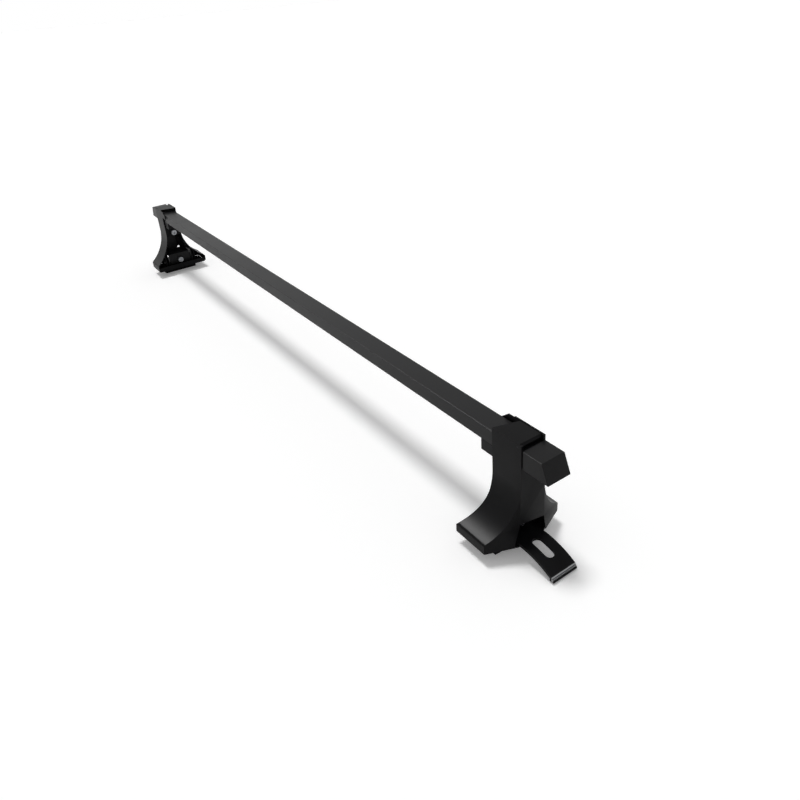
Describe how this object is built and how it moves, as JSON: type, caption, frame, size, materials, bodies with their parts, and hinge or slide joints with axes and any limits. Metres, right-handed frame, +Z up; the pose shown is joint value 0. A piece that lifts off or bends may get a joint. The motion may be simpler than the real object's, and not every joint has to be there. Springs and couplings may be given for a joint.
{
  "type": "roof rack crossbar",
  "caption": "Rectangular steel roof bar on two flared moulded towers, each with a hinged cover, rubber foot, bar wedge and bolt-tensioned door-frame hook.",
  "frame": {"origin": "on the surface the crossbar stands on, below the middle of the bar", "axes": "+X along the bar, +Y across it, +Z up"},
  "size_m": [1.4204, 0.12, 0.1605],
  "materials": {
    "coated_steel": "fine satin black powder coat",
    "black_moulding": "finely grained black ABS",
    "black_nylon": "plain moulded nylon",
    "black_rubber": "matt moulded rubber",
    "dipped_steel": "matt black dipped coat",
    "bolt_steel": "bright zinc plate"
  },
  "bodies": {
    "bar": {"crossbar_tube": "coated_steel", "right_end_cap": "black_moulding", "left_end_cap": "black_moulding"},
    "right_tower": {"right_tower_shell": "black_moulding", "right_tower_frame": "coated_steel", "right_bar_strap": "dipped_steel", "right_foot_pad": "black_rubber", "right_cover_pin": "coated_steel", "right_clamp_washer": "coated_steel", "right_tension_washer": "coated_steel"},
    "right_cover": {"right_top_cover": "black_moulding"},
    "right_wedge": {"right_bar_wedge": "black_nylon"},
    "right_clamp_nut": {"right_clamp_nut": "bolt_steel"},
    "right_clamp_bolt": {"right_clamp_bolt": "bolt_steel"},
    "right_hook": {"right_clamp_hook": "coated_steel", "right_hook_guard": "black_rubber", "right_tension_nut": "bolt_steel"},
    "right_tension_bolt": {"right_tension_bolt": "bolt_steel"},
    "left_tower": {"left_tower_shell": "black_moulding", "left_tower_frame": "coated_steel", "left_bar_strap": "dipped_steel", "left_foot_pad": "black_rubber", "left_cover_pin": "coated_steel", "left_clamp_washer": "coated_steel", "left_tension_washer": "coated_steel"},
    "left_cover": {"left_top_cover": "black_moulding"},
    "left_wedge": {"left_bar_wedge": "black_nylon"},
    "left_clamp_nut": {"left_clamp_nut": "bolt_steel"},
    "left_clamp_bolt": {"left_clamp_bolt": "bolt_steel"},
    "left_hook": {"left_clamp_hook": "coated_steel", "left_hook_guard": "black_rubber", "left_tension_nut": "bolt_steel"},
    "left_tension_bolt": {"left_tension_bolt": "bolt_steel"}
  },
  "joints": [
    {"name": "right_tower_slide", "type": "slide", "parent": "bar", "child": "right_tower", "axis": [-1, 0, 0], "range_m": [0, 0.25]},
    {"name": "right_cover_hinge", "type": "hinge", "parent": "right_tower", "child": "right_cover", "pos_m": [0.6494, 0, 0.1565], "axis": [0, 1, 0], "range_deg": [0, 100]},
    {"name": "right_wedge_slide", "type": "slide", "parent": "right_tower", "child": "right_wedge", "axis": [0.9976, 0, -0.0698], "range_m": [0, 0.003]},
    {"name": "right_clamp_nut_slide", "type": "slide", "parent": "right_tower", "child": "right_clamp_nut", "axis": [1, 0, 0], "range_m": [0, 0.003]},
    {"name": "right_clamp_bolt_turn", "type": "hinge", "parent": "right_tower", "child": "right_clamp_bolt", "pos_m": [0.608, 0, 0.102], "axis": [1, 0, 0], "range_deg": [-864, 0]},
    {"name": "right_hook_slide", "type": "slide", "parent": "right_tower", "child": "right_hook", "axis": [-1, 0, 0], "range_m": [-0.006, 0.012]},
    {"name": "right_tension_bolt_turn", "type": "hinge", "parent": "right_tower", "child": "right_tension_bolt", "pos_m": [0.602, 0, 0.032], "axis": [1, 0, 0], "range_deg": [-1728, 3456]},
    {"name": "left_tower_slide", "type": "slide", "parent": "bar", "child": "left_tower", "axis": [1, 0, 0], "range_m": [0, 0.25]},
    {"name": "left_cover_hinge", "type": "hinge", "parent": "left_tower", "child": "left_cover", "pos_m": [-0.6494, 0, 0.1565], "axis": [0, -1, 0], "range_deg": [0, 100]},
    {"name": "left_wedge_slide", "type": "slide", "parent": "left_tower", "child": "left_wedge", "axis": [-0.9976, 0, -0.0698], "range_m": [0, 0.003]},
    {"name": "left_clamp_nut_slide", "type": "slide", "parent": "left_tower", "child": "left_clamp_nut", "axis": [-1, 0, 0], "range_m": [0, 0.003]},
    {"name": "left_clamp_bolt_turn", "type": "hinge", "parent": "left_tower", "child": "left_clamp_bolt", "pos_m": [-0.608, 0, 0.102], "axis": [-1, 0, 0], "range_deg": [-864, 0]},
    {"name": "left_hook_slide", "type": "slide", "parent": "left_tower", "child": "left_hook", "axis": [1, 0, 0], "range_m": [-0.006, 0.012]},
    {"name": "left_tension_bolt_turn", "type": "hinge", "parent": "left_tower", "child": "left_tension_bolt", "pos_m": [-0.602, 0, 0.032], "axis": [-1, 0, 0], "range_deg": [-1728, 3456]}
  ],
  "couplings": [
    {"joint": "right_clamp_nut_slide", "follows": "right_wedge_slide", "ratio": 0.99756},
    {"joint": "right_clamp_bolt_turn", "follows": "right_wedge_slide", "rad_per_m": -5014.3},
    {"joint": "right_tension_bolt_turn", "follows": "right_hook_slide", "rad_per_m": 5026.5},
    {"joint": "left_clamp_nut_slide", "follows": "left_wedge_slide", "ratio": 0.99756},
    {"joint": "left_clamp_bolt_turn", "follows": "left_wedge_slide", "rad_per_m": -5014.3},
    {"joint": "left_tension_bolt_turn", "follows": "left_hook_slide", "rad_per_m": 5026.5}
  ]
}
